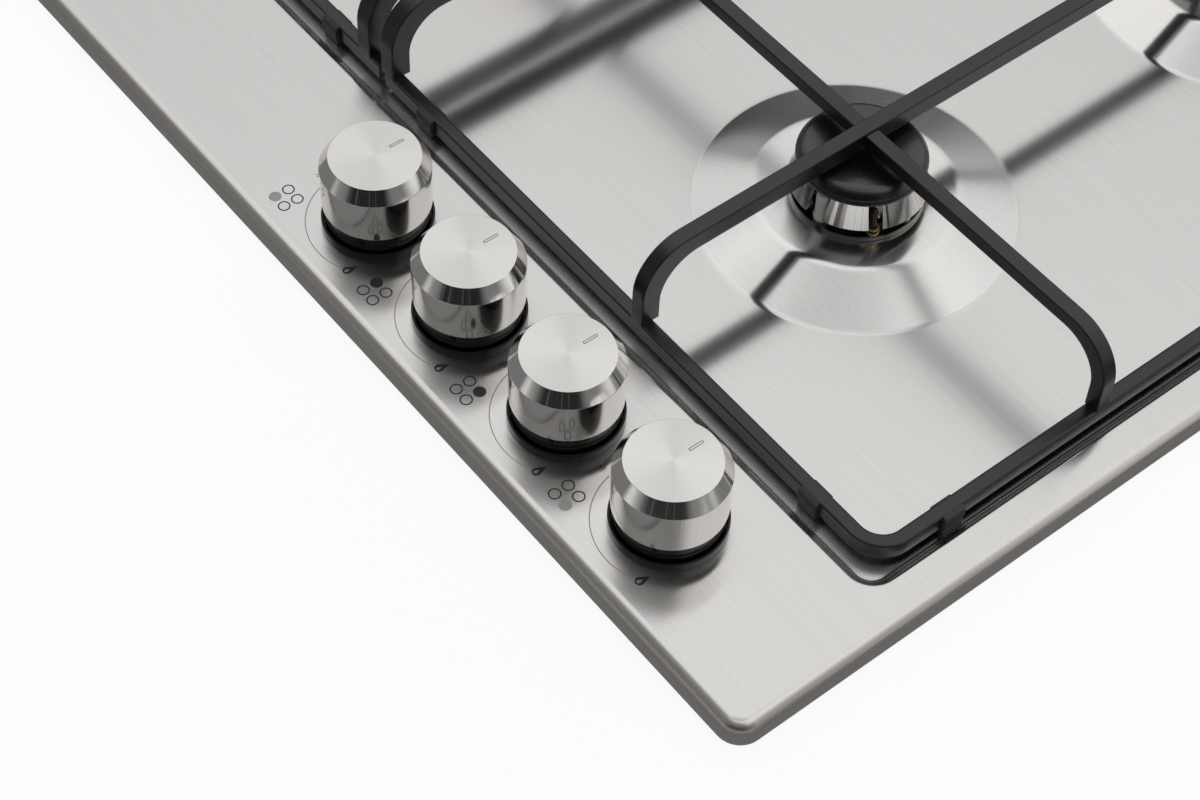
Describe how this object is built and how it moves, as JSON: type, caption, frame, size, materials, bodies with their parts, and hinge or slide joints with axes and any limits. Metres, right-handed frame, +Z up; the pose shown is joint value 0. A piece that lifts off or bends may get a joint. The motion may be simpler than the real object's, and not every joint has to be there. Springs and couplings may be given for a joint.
{
  "type": "gas cooktop",
  "caption": "Drop-in gas cooktop with a brushed steel top plate, round burners under black pan supports, and a row of push-and-turn knobs along the front right edge.",
  "frame": {"origin": "middle of the casing's underside, which is also the bottom centre of the bounding box", "axes": "+X to the user's right, +Y away from the user, +Z up out of the worktop"},
  "size_m": [0.59, 0.51, 0.088],
  "materials": {
    "plate_steel": "satin, brushed from side to side",
    "casing_steel": "galvanised",
    "seal_foam": "matte foam",
    "rail_steel": "zinc plated",
    "brass": "machined",
    "sensor_brass": "dull",
    "black_plastic": "satin",
    "grommet_rubber": "matte",
    "cast_alloy": "as cast, dark",
    "ceramic": "glazed",
    "pipe_aluminium": "drawn",
    "spindle_steel": "turned",
    "knob_steel": "polished sides, spun top",
    "crown_aluminium": "polished",
    "cap_enamel": "matte enamel",
    "support_enamel": "satin enamel"
  },
  "bodies": {
    "hob": {"top_plate": "plate_steel", "bottom_casing": "casing_steel", "edge_seal": "seal_foam", "gas_rail": "rail_steel", "inlet_elbow": "brass", "spark_generator": "black_plastic", "lead_grommet": "grommet_rubber", "burner_base_front_left": "cast_alloy", "spark_electrode_front_left": "ceramic", "flame_sensor_front_left": "sensor_brass", "feed_pipe_front_left": "pipe_aluminium", "tap_body_front_left": "brass", "knob_bezel_front_left": "black_plastic", "burner_base_back_left": "cast_alloy", "spark_electrode_back_left": "ceramic", "flame_sensor_back_left": "sensor_brass", "feed_pipe_back_left": "pipe_aluminium", "tap_body_back_left": "brass", "knob_bezel_back_left": "black_plastic", "burner_base_back_right": "cast_alloy", "spark_electrode_back_right": "ceramic", "flame_sensor_back_right": "sensor_brass", "feed_pipe_back_right": "pipe_aluminium", "tap_body_back_right": "brass", "knob_bezel_back_right": "black_plastic", "burner_base_front_right": "cast_alloy", "spark_electrode_front_right": "ceramic", "flame_sensor_front_right": "sensor_brass", "feed_pipe_front_right": "pipe_aluminium", "tap_body_front_right": "brass", "knob_bezel_front_right": "black_plastic"},
    "tap_front_left": {"tap_plug_front_left": "brass"},
    "knob_front_left": {"tap_spindle_front_left": "spindle_steel", "knob_core_front_left": "black_plastic", "knob_shell_front_left": "knob_steel"},
    "tap_back_left": {"tap_plug_back_left": "brass"},
    "knob_back_left": {"tap_spindle_back_left": "spindle_steel", "knob_core_back_left": "black_plastic", "knob_shell_back_left": "knob_steel"},
    "tap_back_right": {"tap_plug_back_right": "brass"},
    "knob_back_right": {"tap_spindle_back_right": "spindle_steel", "knob_core_back_right": "black_plastic", "knob_shell_back_right": "knob_steel"},
    "tap_front_right": {"tap_plug_front_right": "brass"},
    "knob_front_right": {"tap_spindle_front_right": "spindle_steel", "knob_core_front_right": "black_plastic", "knob_shell_front_right": "knob_steel"},
    "pan_support_left": {"pan_support_left": "support_enamel"},
    "pan_support_right": {"pan_support_right": "support_enamel"},
    "crown_front_left": {"burner_crown_front_left": "crown_aluminium"},
    "cap_front_left": {"burner_cap_front_left": "cap_enamel"},
    "crown_back_left": {"burner_crown_back_left": "crown_aluminium"},
    "cap_back_left": {"burner_cap_back_left": "cap_enamel"},
    "crown_back_right": {"burner_crown_back_right": "crown_aluminium"},
    "cap_back_right": {"burner_cap_back_right": "cap_enamel"},
    "crown_front_right": {"burner_crown_front_right": "crown_aluminium"},
    "cap_front_right": {"burner_cap_front_right": "cap_enamel"}
  },
  "joints": [
    {"name": "knob_front_left_turn", "type": "hinge", "parent": "hob", "child": "tap_front_left", "pos_m": [0.0545, -0.2197, 0.05], "axis": [0, 0, 1], "range_deg": [0, 211]},
    {"name": "knob_front_left_push", "type": "slide", "parent": "tap_front_left", "child": "knob_front_left", "axis": [0, 0, 1], "range_m": [-0.0025, 0], "stiffness_N_per_m": 1500, "springref_m": 0.002},
    {"name": "knob_back_left_turn", "type": "hinge", "parent": "hob", "child": "tap_back_left", "pos_m": [0.109, -0.2197, 0.05], "axis": [0, 0, 1], "range_deg": [0, 211]},
    {"name": "knob_back_left_push", "type": "slide", "parent": "tap_back_left", "child": "knob_back_left", "axis": [0, 0, 1], "range_m": [-0.0025, 0], "stiffness_N_per_m": 1500, "springref_m": 0.002},
    {"name": "knob_back_right_turn", "type": "hinge", "parent": "hob", "child": "tap_back_right", "pos_m": [0.1635, -0.2197, 0.05], "axis": [0, 0, 1], "range_deg": [0, 211]},
    {"name": "knob_back_right_push", "type": "slide", "parent": "tap_back_right", "child": "knob_back_right", "axis": [0, 0, 1], "range_m": [-0.0025, 0], "stiffness_N_per_m": 1500, "springref_m": 0.002},
    {"name": "knob_front_right_turn", "type": "hinge", "parent": "hob", "child": "tap_front_right", "pos_m": [0.218, -0.2197, 0.05], "axis": [0, 0, 1], "range_deg": [0, 211]},
    {"name": "knob_front_right_push", "type": "slide", "parent": "tap_front_right", "child": "knob_front_right", "axis": [0, 0, 1], "range_m": [-0.0025, 0], "stiffness_N_per_m": 1500, "springref_m": 0.002},
    {"name": "pan_support_left_lift", "type": "slide", "parent": "hob", "child": "pan_support_left", "axis": [0, 0, 1], "range_m": [0, 0.06]},
    {"name": "pan_support_right_lift", "type": "slide", "parent": "hob", "child": "pan_support_right", "axis": [0, 0, 1], "range_m": [0, 0.06]},
    {"name": "crown_front_left_lift", "type": "slide", "parent": "hob", "child": "crown_front_left", "axis": [0, 0, 1], "range_m": [0, 0.001]},
    {"name": "cap_front_left_lift", "type": "slide", "parent": "crown_front_left", "child": "cap_front_left", "axis": [0, 0, 1], "range_m": [0, 0.001]},
    {"name": "crown_back_left_lift", "type": "slide", "parent": "hob", "child": "crown_back_left", "axis": [0, 0, 1], "range_m": [0, 0.001]},
    {"name": "cap_back_left_lift", "type": "slide", "parent": "crown_back_left", "child": "cap_back_left", "axis": [0, 0, 1], "range_m": [0, 0.001]},
    {"name": "crown_back_right_lift", "type": "slide", "parent": "hob", "child": "crown_back_right", "axis": [0, 0, 1], "range_m": [0, 0.001]},
    {"name": "cap_back_right_lift", "type": "slide", "parent": "crown_back_right", "child": "cap_back_right", "axis": [0, 0, 1], "range_m": [0, 0.001]},
    {"name": "crown_front_right_lift", "type": "slide", "parent": "hob", "child": "crown_front_right", "axis": [0, 0, 1], "range_m": [0, 0.001]},
    {"name": "cap_front_right_lift", "type": "slide", "parent": "crown_front_right", "child": "cap_front_right", "axis": [0, 0, 1], "range_m": [0, 0.001]}
  ]
}
